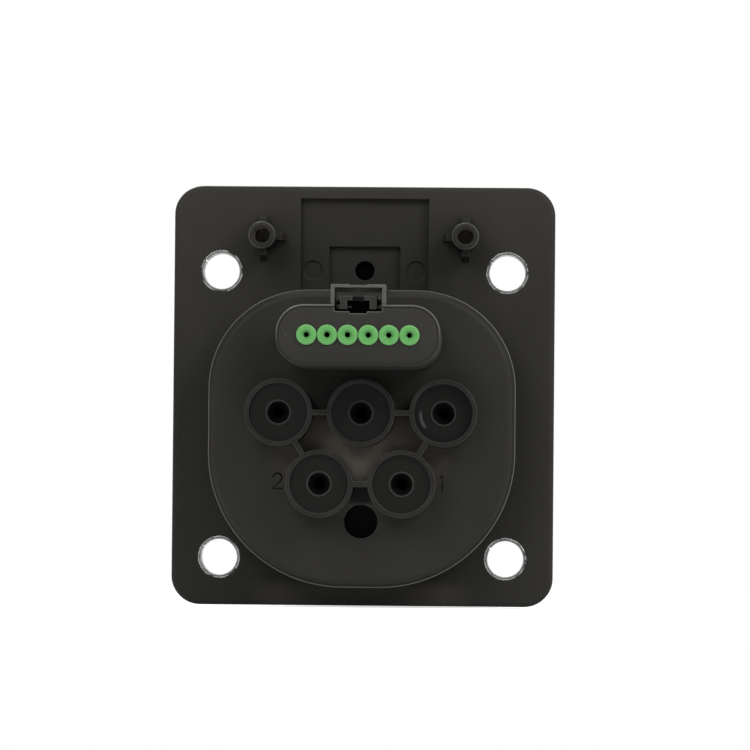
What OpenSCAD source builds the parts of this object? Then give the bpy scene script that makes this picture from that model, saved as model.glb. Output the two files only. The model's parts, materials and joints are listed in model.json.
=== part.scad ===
// Seven-contact charge port inlet, wire side towards +Y, mating side towards -Y.
// The origin is the middle of the bolt square, on the rear face of the flange plate.

/* [Flange plate] */
// Width of the flange plate
plate_w = 80; // [78:0.5:90]
// Reach of the plate above the middle of the bolt square
plate_up = 48; // [47:0.5:56]
// Reach of the plate below the middle of the bolt square
plate_down = 40; // [39:0.5:48]
// Thickness of the flange plate
plate_t = 4; // [3.8:0.1:6]
// Radius of the plate's corners
plate_corner = 6; // [3:0.5:8]
// Rounding of the plate's edges
plate_edge = 1; // [0.4:0.1:1.4]

/* [Bolt holes] */
// Spacing of the four bolt holes, both ways
bolt_pitch = 60; // [59:0.5:64]
// Bore of the steel bush in each bolt hole
bush_bore = 7.5; // [7:0.1:7.8]
// Wall of the steel bush
bush_wall = 0.6; // [0.5:0.1:0.9]
// Width of the split along each steel bush
bush_split = 0.3; // [0.2:0.1:0.8]
// Angle of that split from the top, towards +X
bush_turn = 55; // [0:5:350]

/* [Lock recess] */
// Width of the recess for the lock
recess_w = 27; // [24:0.5:32]
// Height of the recess's upper edge
recess_top = 45.4; // [42:0.2:46]
// Depth of the recess
recess_depth = 1.5; // [0.8:0.1:1.6]
// Width of the deeper step
step_w = 15; // [12:0.5:17]
// Height of the deeper step's upper edge
step_top = 35.4; // [34:0.2:38]
// Further depth of the step
step_depth = 1.2; // [0.6:0.1:1.4]
// Diameter of the lock pin's hole
lock_hole_d = 4.1; // [3:0.1:5]
// Height of the lock pin's hole
lock_hole_z = 30.4; // [29.6:0.1:31]
// Wall of the lock pin's guide in front of the plate
guide_wall = 1.6; // [1.2:0.1:1.8]
// Length of the guide
guide_l = 12; // [10:0.5:16]
// Thickness of the guide's closed end
guide_end = 1.6; // [1.2:0.1:2.4]
// Width of the slot under the guide, for the connector's latch
guide_slot = 2.2; // [1.6:0.1:2.4]
// Length of that slot
guide_slot_l = 6; // [4:0.5:7]
// Diameter of the two ejector marks
mark_d = 4; // [3:0.1:4.4]
// Distance of the ejector marks from the middle
mark_x = 10.8; // [10.2:0.1:11]
// Depth of the ejector marks
mark_depth = 0.35; // [0.1:0.05:0.5]

/* [Lock bosses] */
// Distance of each screw boss from the middle
boss_x = 21.2; // [20:0.2:24]
// Height of the screw bosses
boss_z = 37.1; // [37:0.1:40]
// Outer diameter of a screw boss
boss_d = 5.7; // [5:0.1:6.4]
// Screw hole in a boss
boss_hole_d = 3.2; // [2.4:0.1:3.6]
// How far a boss stands off the plate
boss_h = 9.5; // [7:0.5:14]
// Rounding of a boss's rim
boss_round = 0.5; // [0.2:0.1:0.7]
// Lead into a boss's screw hole
boss_lead = 0.25; // [0.1:0.05:0.4]
// Thickness of a boss's gussets
gusset_t = 1.6; // [1:0.1:2.2]
// Reach of a gusset from the boss's axis
gusset_reach = 4.8; // [4:0.1:5.6]
// Height of a gusset
gusset_h = 5; // [3:0.5:6.5]
// Slope of a gusset's outer end
gusset_slope = 0.8; // [0.2:0.1:1]

/* [Mating shell] */
// Inner radius of the mating shell
shell_r = 28; // [27.6:0.1:28.6]
// Height of the shell's inner flat top
shell_flat = 22.2; // [21.8:0.1:22.6]
// Radius of the two corners beside the flat top
shell_corner = 7; // [5:0.5:9]
// Wall of the mating shell
shell_wall = 3; // [2.6:0.1:3.4]
// Length of the shell in front of the plate
shell_len = 30; // [28:0.5:36]
// Width of the latch ledge on the shell
ledge_w = 16; // [10:0.5:22]
// Height of the latch ledge
ledge_h = 2.4; // [1.6:0.1:3]
// Length of the latch ledge's ramp
ledge_len = 4.5; // [3:0.1:6]
// Distance of the ledge from the shell's rim
ledge_back = 6; // [4:0.5:10]

/* [Contact carrier] */
// How far the carrier's base reaches past the shell's inner wall
base_overlap = 2; // [1.8:0.1:2.2]
// Thickness of the carrier's base
base_t = 2.2; // [1.8:0.1:2.4]
// Spacing of the power contacts along a row
contact_pitch = 17; // [16.8:0.1:17.2]
// Drop from the upper row of power contacts to the lower row
row_drop = 14.7; // [14.5:0.1:15]
// Diameter of the power towers
tower_d = 12; // [11.6:0.1:12.6]
// Distance of the power towers behind the shell's rim
tower_back = 7; // [5:0.5:10]
// Hole in the front of a power tower
tower_entry = 6.8; // [6.4:0.1:7.4]
// Front wall of a tower
tower_front = 1.6; // [1.2:0.1:2.2]
// Chamfer at the front of a tower
tower_chamfer = 0.6; // [0.3:0.1:0.8]
// Depth of the towers' seats in the base
tower_seat = 0.4; // [0.2:0.1:0.5]
// Length of the carrier's collars that plug into the rear tubes
collar_l = 3; // [2.8:0.1:4]
// Distance of the signal contacts from the middle
signal_x = 8; // [7.8:0.1:8.4]
// Height of the signal contacts
signal_z = 13.5; // [13.2:0.1:14]
// Diameter of the signal towers
signal_tower_d = 8; // [7.4:0.1:8.4]
// Distance of the signal towers behind the shell's rim
signal_back = 11; // [8:0.5:14]
// Hole in the front of a signal tower
signal_entry = 3.6; // [3.3:0.1:4]
// How far the cap over the drain stands off the carrier's base
drain_cap_h = 4; // [3.5:0.1:6]
// Front wall of the drain's cap
drain_cap_t = 1.2; // [1:0.1:1.6]
// Width of the opening under the cap
drain_cap_open = 4.6; // [3:0.1:5.6]
// Bore of the drain's mouth, which is in the cap and the base
drain_mouth = 8; // [7.6:0.1:8.2]
// Diameter of the board posts
post_d = 3; // [2.4:0.1:3.4]
// Distance of the board posts from the middle
post_x = 13; // [12.8:0.1:13.4]
// How far the board stands off the carrier
board_off = 3.6; // [3.2:0.1:3.8]

/* [Carrier seal] */
// Width of the seal ring round the carrier
ring_w = 0.9; // [0.7:0.1:1]
// Thickness of the seal ring
ring_t = 0.8; // [0.6:0.1:1]

/* [Power contacts] */
// Bore of a power socket
socket_d = 6; // [5.6:0.1:6.2]
// Wall of a power socket
socket_wall = 1.5; // [1.2:0.1:1.6]
// Depth of a power socket
socket_depth = 20; // [16:0.5:22]
// Width of the slots between a socket's fingers
finger_slot = 0.6; // [0.4:0.1:1]
// Length of a socket's fingers
finger_l = 14; // [10:0.5:15]
// Diameter of a contact's shoulder
shoulder_d = 10.4; // [10:0.1:10.6]
// Thickness of a contact's shoulder
shoulder_t = 2; // [1.6:0.1:2.2]
// Outer diameter of the crimp barrel
barrel_d = 8; // [7.4:0.1:9]
// Bore of the crimp barrel
barrel_bore = 5.4; // [4.8:0.1:6]
// Room between a crimp barrel and the deepest wire seal
barrel_room = 0.4; // [0.3:0.1:2]
// Width of the spring ring round a socket's fingers
spring_w = 2; // [1.2:0.1:3]
// Thickness of the spring ring
spring_t = 0.4; // [0.2:0.05:0.5]
// Distance of the spring ring from the socket's front
spring_back = 4.6; // [3:0.1:6]
// Width of the split in the spring ring
spring_split = 1; // [0.6:0.1:1.4]

/* [Signal contacts] */
// Bore of a signal socket
signal_d = 3; // [2.8:0.1:3.1]
// Wall of a signal socket
signal_wall = 1; // [0.8:0.1:1.1]
// Depth of a signal socket
signal_depth = 14; // [10:0.5:16]
// Diameter of a signal contact's shoulder
signal_shoulder_d = 6.2; // [5.8:0.1:6.4]
// Thickness of a signal contact's shoulder
signal_shoulder_t = 1.2; // [0.8:0.1:1.3]
// Diameter of a signal contact's solder tail
tail_d = 1.4; // [1:0.1:1.8]

/* [Signal board] */
// Width of the board
board_w = 30; // [29.4:0.2:31]
// Lower edge of the board
board_low = 9.8; // [9.5:0.1:10]
// Upper edge of the board
board_high = 20.6; // [20:0.1:21]
// Thickness of the board
board_t = 1.6; // [1.2:0.1:1.8]
// Diameter of a temperature sensor's bead
bead_d = 2; // [1.6:0.1:2.2]
// Diameter of a sensor's leads
lead_d = 0.4; // [0.3:0.05:0.5]
// Spacing of a sensor's two leads
lead_pitch = 0.8; // [0.6:0.05:1]
// Place of a sensor on its tube, as an angle above the row of tubes
sensor_angle = 60; // [56:1:64]

/* [Rear housing] */
// Half width of the rear housing
dome_half = 31.9; // [31.6:0.1:32.6]
// Height of the housing's upper edge
dome_up = 25.7; // [25.6:0.1:26.2]
// Depth of the housing's lower edge
dome_down = 36.1; // [35.6:0.1:37]
// Upper corner radius of the housing
dome_corner_up = 20.5; // [18:0.5:22]
// Lower corner radius of the housing
dome_corner_low = 28; // [26:0.5:29]
// Width of the lip round the housing's shoulder
lip_w = 0.6; // [0.4:0.1:1]
// Rounding of the housing's shoulder, which stands above the lip
dome_round = 1; // [0.6:0.1:1.6]
// Height of the housing's rear face above the plate
dome_h = 11; // [10.4:0.1:12]
// Wall of the housing's sides
dome_wall = 2.2; // [1.8:0.1:2.4]
// Wall of the housing's rear face
face_wall = 2.6; // [2.2:0.1:3]

/* [Rear tubes] */
// Outer diameter of the rear tubes
tube_d = 14; // [13.8:0.1:14.4]
// Bore of the rear tubes
tube_bore = 12.2; // [12.1:0.1:12.6]
// How far the tubes stand off the housing's face
tube_h = 7; // [6:0.5:9]
// Thickness of the webs between the tubes
web_t = 1.15; // [0.9:0.05:1.6]
// Depth of the drain below the middle contact
drain_z = 22.4; // [22.2:0.1:23]
// Bore of the drain
drain_d = 7; // [6:0.1:7.2]
// Wall of the drain
drain_wall = 0.8; // [0.7:0.1:1.2]

/* [Power wire seals] */
// Hole for the wire
wire_hole = 4.7; // [4:0.1:5.4]
// Length of a wire seal
wire_seal_l = 3.4; // [3:0.1:3.6]
// Depth of the seals below the tube ends
seal_sunk = 0.6; // [0.4:0.1:0.8]
// Further depth of the one seal that is pushed in
seal_pushed = 1.2; // [0.6:0.1:1.4]
// Depth of the grooves between a seal's lips
seal_groove = 0.5; // [0.3:0.1:0.8]
// Width of the grooves
groove_w = 0.7; // [0.5:0.05:0.8]
// Distance of each groove from the seal's ends
groove_in = 0.55; // [0.5:0.05:0.6]
// Width of the bead round the wire hole
bead_w = 0.3; // [0.2:0.05:1]
// Raised bead round the wire hole
hole_bead = 0.2; // [0.1:0.05:0.5]

/* [Signal header] */
// Half width of the signal plug
plug_half_w = 16.6; // [16.4:0.1:17]
// Half height of the signal plug
plug_half_h = 6.15; // [6.1:0.05:6.6]
// Corner radius of the signal plug
plug_corner = 5.7; // [5.2:0.1:6]
// Height of the signal plug's middle
plug_z = 15; // [14.9:0.1:15.3]
// Wall of the plug's hood
hood_wall = 1.2; // [1:0.1:1.3]
// Wall of the header's shroud
shroud_wall = 1.1; // [0.9:0.1:1.2]
// How far the shroud stands off the housing's face
shroud_h = 12; // [11:0.5:13]
// Pitch of the six signal ways
way_pitch = 4.15; // [4.12:0.01:4.3]
// Size of the square header pins
pin_w = 0.64; // [0.5:0.02:0.8]
// Width of the latch catch
catch_w = 4; // [3:0.1:4.4]
// Height of the latch catch
catch_h = 1; // [0.7:0.1:1]
// Length of the latch catch
catch_l = 2.2; // [1.8:0.1:2.6]
// Distance of the catch's holding face from the housing's face
catch_y = 8.2; // [7.8:0.1:8.6]

/* [Signal plug] */
// Distance of the plug's rear face from the plate
plug_rear = 42; // [41.4:0.2:44]
// Gap between the plug's front edge and the housing's face
plug_gap = 1; // [0.6:0.1:1.6]
// Rounding of the plug's rear edge
plug_edge = 0.45; // [0.2:0.05:0.6]
// Room past the end of the shroud
shroud_room = 1.2; // [0.8:0.1:1.6]
// Gap between the plug's core and the shroud, filled by the ring seal
core_gap = 1.2; // [1:0.1:1.3]
// Thickness of the ring seal along the plug
ring_seal_l = 3; // [2:0.1:4]
// Width of the terminals
terminal_w = 2; // [1.8:0.1:2.2]
// Distance of the terminals from the housing's face
terminal_gap = 3; // [2:0.2:4]
// Bore for each green wire seal
seal_bore = 3.4; // [3:0.1:3.5]
// Depth of those bores
seal_bore_l = 8; // [6:0.2:9]
// Outer width of the latch arch
arch_w = 11.1; // [10.8:0.1:11.6]
// Wall of the latch arch's sides
arch_wall = 0.75; // [0.6:0.05:0.8]
// Height of the arch above the plug's top
arch_h = 4.1; // [4:0.1:4.6]
// Thickness of the arch's top bar
arch_bar = 0.65; // [0.5:0.05:0.7]
// Depth of the rib along the top bar's front edge
arch_rib = 1.3; // [1:0.1:1.4]
// Length of the arch's top bar
arch_bar_l = 5.5; // [4:0.1:6.5]
// Width of the notch in the top bar
arch_notch = 3.5; // [2.6:0.1:4.4]
// Length of the arch's sides
arch_l = 15; // [14.6:0.1:16]
// Depth of the latch's cut-out in the plug's face
cut_depth = 1.4; // [1.2:0.1:1.6]
// Further depth of the well under the lever
well_depth = 1.3; // [1.2:0.1:1.4]
// Sill left at the rear of that well
well_sill = 0.8; // [0.6:0.1:1]
// Width of the notch in that sill
sill_notch = 3.6; // [3:0.1:4]
// Depth of that notch
sill_notch_h = 0.4; // [0.2:0.1:0.6]

/* [Latch lever] */
// Width of the lever
lever_w = 7.4; // [7:0.1:7.8]
// Thickness of the lever's plate
lever_t = 0.9; // [0.8:0.05:1]
// Gap between the lever's top and the arch's bar
lever_gap = 1.65; // [1.5:0.05:1.7]
// Distance of the lever's end from the plug's rear face
lever_back = 1.3; // [1.2:0.1:1.6]
// Distance of the pivot from the plug's rear face
pivot_back = 12; // [11.8:0.1:12.4]
// Diameter of the pivot bar
pivot_d = 1.4; // [1.2:0.05:1.5]
// Width of the lever's two legs
leg_w = 1.4; // [1.2:0.1:1.6]
// Height of the lever's legs
leg_h = 1.8; // [1.4:0.1:1.9]
// Length of the lever's legs
leg_l = 7.5; // [5:0.1:8]
// Width of the notch in the lever's end
lever_notch = 2.45; // [2:0.05:2.8]
// Length of that notch
lever_notch_l = 4; // [2:0.2:6]
// Length of the hook
hook_l = 2.1; // [1.8:0.1:2.4]
// How far the hook reaches down past the catch's top
hook_bite = 0.7; // [0.5:0.1:0.7]

/* [Green wire seals] */
// Diameter of a seal's flange
flange_d = 4.08; // [3.8:0.02:4.1]
// Thickness of a seal's flange
flange_t = 0.6; // [0.5:0.1:0.9]
// Rounding of the flange's edge
flange_round = 0.2; // [0.1:0.05:0.3]
// Hole for the signal wire
signal_wire = 1.05; // [0.8:0.05:1.4]
// Length of a seal's body in its bore
green_l = 5; // [4:0.2:5.6]
// Dish round the wire hole
dish_d = 2; // [1.6:0.1:2.6]
// Depth of that dish
dish_depth = 0.4; // [0.2:0.05:0.45]

/* [Fits] */
// Radial gap of parts that are pushed into a seat
seat_gap = 0.05; // [0.03:0.01:0.08]
// Gap round parts that slot together
slot_gap = 0.15; // [0.1:0.01:0.2]
// Radial gap of the lever's pivot
pivot_gap = 0.05; // [0.03:0.01:0.08]
// Gap between the hook and the catch
hook_gap = 0.3; // [0.3:0.05:0.5]

/* [Hidden] */
$fn = 64;
cut = 1;
wide = 200;

// Steel bushes
bush_r = bush_bore / 2 + bush_wall;
bolt_half = bolt_pitch / 2;

// Lock pin's guide
guide_d = lock_hole_d + 2 * guide_wall;
guide_y = -plate_t - guide_l;
guide_floor = guide_y + guide_end;

// Mating shell and carrier, along Y
shell_front = -plate_t - shell_len;
base_front = -base_t;
drain_cap_y = base_front - drain_cap_h;
drain_floor = drain_cap_y + drain_cap_t;
drain_out = drain_d + 2 * drain_wall;
drain_cap_d = drain_mouth + 2 * drain_wall;
tower_seat_y = base_front + tower_seat;
tower_foot = tower_seat_y - seat_gap;
tower_y = shell_front + tower_back;
signal_y = shell_front + signal_back;

// Rear housing, along Y
face_y = dome_h;
pocket_y = dome_h - face_wall;
tube_y = dome_h + tube_h;
foot_y = slot_gap;
dome_inset = lip_w + dome_wall;

// Contacts, along Y
socket_r = socket_d / 2 + socket_wall;
signal_r = signal_d / 2 + signal_wall;
socket_y = tower_y + tower_front + slot_gap;
signal_socket_y = signal_y + tower_front + slot_gap;
shoulder_y = collar_l - shoulder_t - slot_gap;
barrel_y = shoulder_y + shoulder_t;
spring_y = socket_y + spring_back;
barrel_end = tube_y - seal_sunk - seal_pushed - wire_seal_l - barrel_room;
signal_shoulder_y = -signal_shoulder_t - slot_gap;

// Board, along Y
board_y = board_off;
board_back = board_off + board_t;
pin_start = board_y - pin_w;

// Power contact places, as [x, z, extra depth of the wire seal]
POWER = [
    [-contact_pitch, 0, seal_pushed],
    [0, 0, 0],
    [contact_pitch, 0, 0],
    [-contact_pitch / 2, -row_drop, 0],
    [contact_pitch / 2, -row_drop, 0]
];
WEBS = [[0, 1], [1, 2], [0, 3], [2, 4], [3, 4]];
SIGNAL_X = [-signal_x, signal_x];
WAYS = [for (i = [0 : 5]) (i - 2.5) * way_pitch];

// Signal plug and header
hood_y = face_y + plug_gap;
shroud_y = face_y + shroud_h;
core_y = shroud_y + shroud_room;
shroud_in = hood_wall + slot_gap;
shroud_bore = shroud_in + shroud_wall;
core_in = shroud_bore + core_gap;
plug_top = plug_z + plug_half_h;
shroud_top = plug_top - shroud_in;
catch_face = face_y + catch_y;
arch_top = plug_top + arch_h;
arch_in = arch_w / 2 - arch_wall;
arch_y = plug_rear - arch_l;
cut_z = plug_top - cut_depth;
well_z = cut_z - well_depth;

// Latch lever
lever_top = arch_top - arch_bar - lever_gap;
lever_low = lever_top - lever_t;
lever_end = plug_rear - lever_back;
pivot_y = plug_rear - pivot_back;
pivot_z = lever_low + pivot_d / 4;
hook_back = catch_face - hook_gap;
hook_front = hook_back - hook_l;
hook_low = shroud_top + catch_h - hook_bite;
well_y = lever_end - leg_l - cut;

// Extrudes a drawing of the XZ plane from y0 to y1.
module slab(y0, y1) {
    translate([0, y1, 0]) rotate([90, 0, 0]) linear_extrude(y1 - y0) children();
}

// A round bar or hole along Y.
module rod(x, z, y0, y1, d) {
    translate([x, y1, z]) rotate([90, 0, 0]) cylinder(d = d, h = y1 - y0);
}

// Revolves a section, drawn as [radius, y], about a line along Y.
module turned(x, z) {
    translate([x, 0, z]) rotate([-90, 0, 0]) rotate_extrude() children();
}

// A box from one corner to the opposite one.
module block(low, high) {
    translate(low) cube(high - low);
}

// Outline of the mating shell: a circle with a flat top and round corners beside it.
module shell_outline(grow) {
    r = shell_r + grow;
    flat = shell_flat + grow;
    corner = shell_corner + grow;
    corner_z = flat - corner;
    corner_x = sqrt(pow(r - corner, 2) - pow(corner_z, 2));
    join_z = corner_z * r / (r - corner);
    intersection() {
        circle(r);
        translate([-wide / 2, -wide]) square([wide, wide + join_z]);
    }
    translate([-corner_x, 0]) square([2 * corner_x, flat]);
    for (side = [-1, 1]) translate([side * corner_x, corner_z]) circle(corner);
}

// Outline of the drain's cap, kept inside the mating shell.
module cap_outline(grow) {
    intersection() {
        translate([0, -drain_z]) circle(drain_cap_d / 2 + grow);
        shell_outline(grow - slot_gap);
    }
}

// Outline of a rounded rectangle about its middle.
module round_outline(half_w, half_h, r) {
    square([2 * half_w, 2 * (half_h - r)], center = true);
    square([2 * (half_w - r), 2 * half_h], center = true);
    for (x = [-1, 1], z = [-1, 1]) translate([x * (half_w - r), z * (half_h - r)]) circle(r);
}

// Outline of the signal plug, drawn in by a distance.
module plug_outline(inset) {
    translate([0, plug_z]) round_outline(plug_half_w - inset, plug_half_h - inset, plug_corner - inset);
}

// Outline of the rear housing, drawn in by a distance.
module dome_outline(inset) {
    half = dome_half - inset;
    translate([-half, -dome_down + dome_corner_low])
        square([2 * half, dome_up - dome_corner_up + dome_down - dome_corner_low]);
    translate([-dome_half + dome_corner_up, 0]) square([2 * (dome_half - dome_corner_up), dome_up - inset]);
    translate([-dome_half + dome_corner_low, -dome_down + inset])
        square([2 * (dome_half - dome_corner_low), dome_down - inset]);
    for (side = [-1, 1]) {
        translate([side * (dome_half - dome_corner_up), dome_up - dome_corner_up])
            circle(dome_corner_up - inset);
        translate([side * (dome_half - dome_corner_low), -dome_down + dome_corner_low])
            circle(dome_corner_low - inset);
    }
}

// A plate-like solid with rounded upper and lower corners. Its edge follows the
// section given as a child, drawn as [distance out from the outline, y].
module edged(half_w, up, down, r_up, r_low) {
    for (side = [-1, 1]) {
        translate([side * (half_w - r_up), 0, up - r_up]) edge_corner(r_up) children();
        translate([side * (half_w - r_low), 0, -down + r_low]) edge_corner(r_low) children();
        mirror([side < 0 ? 1 : 0, 0, 0]) translate([0, 0, -down + r_low])
            linear_extrude(up - r_up + down - r_low) outward_half(half_w) children();
    }
    edge_run(up, half_w - r_up) children();
    mirror([0, 0, 1]) edge_run(down, half_w - r_low) children();
}

module edge_corner(r) {
    rotate([-90, 0, 0]) rotate_extrude() outward_half(r) children();
}

module edge_run(reach, half) {
    rotate([0, -90, 0]) translate([0, 0, -half]) linear_extrude(2 * half) outward_half(reach) children();
}

module outward_half(reach) {
    intersection() {
        translate([reach, 0]) children();
        translate([0, -wide / 2]) square([wide, wide]);
    }
}

// Section of a plate from y0 to y1 with both edges rounded.
module plate_section(y0, y1, r_front, r_back) {
    translate([-wide, y0]) square([wide - max(r_front, r_back), y1 - y0]);
    translate([-wide, y0 + r_front]) square([wide, y1 - y0 - r_front - r_back]);
    translate([-r_front, y0 + r_front]) circle(r_front);
    translate([-r_back, y1 - r_back]) circle(r_back);
}

// Section of the rear housing's edge: upright wall, narrow lip and round shoulder.
module dome_section() {
    lip_y = dome_h - dome_round;
    shoulder = lip_w + dome_round;
    translate([-wide, 0]) square([wide, lip_y]);
    translate([-wide, 0]) square([wide - shoulder, dome_h]);
    translate([-shoulder, lip_y]) circle(dome_round);
}

// Flange plate with the mating shell, lock recess, pin guide and screw bosses, moulded as one.
module flange_housing() {
    color([0.17, 0.17, 0.16]) difference() {
        union() {
            edged(plate_w / 2, plate_up, plate_down, plate_corner, plate_corner)
                plate_section(-plate_t, 0, plate_edge, plate_edge);
            slab(shell_front, -plate_t / 2) shell_outline(shell_wall);
            latch_ledge();
            rod(0, lock_hole_z, guide_y, -plate_t / 2, guide_d);
            for (side = [-1, 1]) mirror([side < 0 ? 1 : 0, 0, 0]) lock_boss();
        }
        slab(shell_front - cut, cut) shell_outline(0);
        slab(base_front, cut) shell_outline(base_overlap + slot_gap);
        slab(base_front - ring_t, base_front + cut) seal_ring(seat_gap);
        for (x = [-1, 1], z = [-1, 1])
            rod(x * bolt_half, z * bolt_half, -plate_t - cut, cut, 2 * (bush_r + seat_gap));
        lock_recess();
    }
}

// Outline of the carrier seal, midway across the carrier rim, widened by a gap on both sides.
module seal_ring(gap) {
    half = ring_w / 2 + gap;
    difference() {
        shell_outline(base_overlap / 2 + half);
        shell_outline(base_overlap / 2 - half);
    }
}

module latch_ledge() {
    top = shell_flat + shell_wall;
    ramp = shell_front + ledge_back;
    translate([-ledge_w / 2, 0, 0]) rotate([90, 0, 90]) linear_extrude(ledge_w)
        polygon([
            [ramp, top - cut], [ramp, top],
            [ramp + ledge_len, top + ledge_h], [ramp + ledge_len, top - cut]
        ]);
}

// A screw boss with a rounded rim, three gussets and a lead into its hole.
module lock_boss() {
    base = -plate_t / 2;
    rim = boss_d / 2 - boss_round;
    hole = boss_hole_d / 2;
    translate([boss_x, 0, boss_z]) difference() {
        union() {
            turned(0, 0) {
                translate([0, base]) square([boss_d / 2, boss_h - boss_round - base]);
                translate([0, base]) square([rim, boss_h - base]);
                translate([rim, boss_h - boss_round]) circle(boss_round);
            }
            for (turn = [90, 180, 270]) rotate([0, turn, 0]) gusset(base);
        }
        rod(0, 0, base, boss_h + cut, boss_hole_d);
        turned(0, 0) polygon([
            [0, boss_h - boss_lead], [hole, boss_h - boss_lead],
            [hole + boss_lead + cut, boss_h + cut], [0, boss_h + cut]
        ]);
    }
}

module gusset(base) {
    translate([0, 0, -gusset_t / 2]) linear_extrude(gusset_t)
        polygon([
            [0, base], [gusset_reach, base], [gusset_reach, 0],
            [gusset_reach - gusset_slope, gusset_h], [0, gusset_h]
        ]);
}

module lock_recess() {
    floor_y = -recess_depth;
    block([-recess_w / 2, floor_y, dome_up], [recess_w / 2, cut, recess_top]);
    block([-step_w / 2, floor_y - step_depth, dome_up], [step_w / 2, cut, step_top]);
    rod(0, lock_hole_z, guide_floor, cut, lock_hole_d);
    block([-guide_slot / 2, guide_floor, lock_hole_z - guide_d],
        [guide_slot / 2, guide_floor + guide_slot_l, lock_hole_z]);
    for (side = [-1, 1]) rod(side * mark_x, lock_hole_z, floor_y - mark_depth, cut, mark_d);
}

// Carrier's base with the towers' seats, the collars behind them and the posts for the board.
module contact_carrier() {
    color([0.15, 0.15, 0.15]) difference() {
        union() {
            slab(base_front, 0) shell_outline(base_overlap);
            for (p = POWER) rod(p[0], p[1], base_front / 2, collar_l, tube_bore - 2 * seat_gap);
            for (side = [-1, 1]) rod(side * post_x, plug_z, base_front / 2, board_y, post_d);
        }
        for (p = POWER) {
            rod(p[0], p[1], base_front - cut, tower_seat_y, tower_d + 2 * seat_gap);
            rod(p[0], p[1], base_front - cut, collar_l + cut, 2 * (socket_r + slot_gap));
            rod(p[0], p[1], shoulder_y, collar_l + cut, shoulder_d + 2 * seat_gap);
        }
        for (x = SIGNAL_X) {
            rod(x, signal_z, base_front - cut, tower_seat_y, signal_tower_d + 2 * seat_gap);
            rod(x, signal_z, base_front - cut, cut, 2 * (signal_r + slot_gap));
            rod(x, signal_z, signal_shoulder_y, cut, signal_shoulder_d + 2 * seat_gap);
        }
        slab(base_front - cut, tower_seat_y) cap_outline(seat_gap);
        slab(base_front - cut, cut) cap_outline(-drain_wall);
    }
}

// A socket tower with a narrow mouth, a chamfer round its front and its foot in a seat of the base.
module tower(x, z, front, d, mouth, bore) {
    r = d / 2;
    color([0.15, 0.15, 0.15]) turned(x, z) polygon([
        [mouth / 2, front], [r - tower_chamfer, front], [r, front + tower_chamfer],
        [r, tower_foot], [bore / 2, tower_foot],
        [bore / 2, front + tower_front], [mouth / 2, front + tower_front]
    ]);
}

// Tower round a power contact.
module power_tower(p) {
    tower(p[0], p[1], tower_y, tower_d, tower_entry, 2 * (socket_r + slot_gap));
}

// Tower round a signal contact.
module signal_tower(x) {
    tower(x, signal_z, signal_y, signal_tower_d, signal_entry, 2 * (signal_r + slot_gap));
}

// Cap in front of the drain, open below.
module drain_cap() {
    color([0.15, 0.15, 0.15]) difference() {
        slab(drain_cap_y, tower_foot) cap_outline(0);
        slab(drain_floor, cut) cap_outline(-drain_wall);
        block([-drain_cap_open / 2, drain_floor, -drain_z - drain_cap_d],
            [drain_cap_open / 2, base_front, -drain_z]);
    }
}

// Ring seal between the carrier's base and the flange housing.
module carrier_seal() {
    color([0.1, 0.1, 0.1]) slab(base_front - ring_t, base_front) seal_ring(0);
}

// Rear housing with the wire tubes, their webs, the drain and the signal header.
module rear_housing() {
    color([0.19, 0.19, 0.18]) difference() {
        union() {
            difference() {
                edged(dome_half, dome_up, dome_down, dome_corner_up, dome_corner_low) dome_section();
                slab(-cut, pocket_y) dome_outline(dome_inset);
            }
            for (p = POWER) rod(p[0], p[1], foot_y, tube_y, tube_d);
            for (w = WEBS) web(POWER[w[0]], POWER[w[1]]);
            rod(0, -drain_z, foot_y, face_y - face_wall / 2, drain_out);
            slab(face_y - face_wall / 2, shroud_y) difference() {
                plug_outline(shroud_in);
                plug_outline(shroud_bore);
            }
            latch_catch();
        }
        for (p = POWER) rod(p[0], p[1], -cut, tube_y + cut, tube_bore);
        rod(0, -drain_z, -cut, face_y + cut, drain_d);
        for (x = WAYS) pin_bar(x, pocket_y - cut, face_y + cut, pin_w + 2 * seat_gap);
    }
}

// A thin wall between two tubes, level with their ends.
module web(a, b) {
    run = [b[0] - a[0], b[1] - a[1]];
    translate([a[0], tube_y, a[1]]) rotate([0, -atan2(run[1], run[0]), 0])
        block([tube_bore / 2, face_y - face_wall / 2 - tube_y, -web_t / 2],
            [norm(run) - tube_bore / 2, 0, web_t / 2]);
}

module latch_catch() {
    translate([-catch_w / 2, 0, 0]) rotate([90, 0, 90]) linear_extrude(catch_w)
        polygon([
            [catch_face, shroud_top - shroud_wall / 2], [catch_face, shroud_top + catch_h],
            [catch_face + catch_l / 2, shroud_top + catch_h], [catch_face + catch_l, shroud_top],
            [catch_face + catch_l, shroud_top - shroud_wall / 2]
        ]);
}

// A square bar along Y at one of the signal ways.
module pin_bar(x, y0, y1, w) {
    block([x - w / 2, y0, plug_z - w / 2], [x + w / 2, y1, plug_z + w / 2]);
}

// Rolled steel bush with a split, one in each bolt hole.
module bush(x, z) {
    color([0.72, 0.72, 0.7]) translate([x * bolt_half, 0, z * bolt_half]) difference() {
        rod(0, 0, -plate_t, 0, 2 * bush_r);
        rod(0, 0, -plate_t - cut, cut, bush_bore);
        rotate([0, bush_turn, 0])
            block([-bush_split / 2, -plate_t - cut, 0], [bush_split / 2, cut, bush_r + cut]);
    }
}

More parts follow.
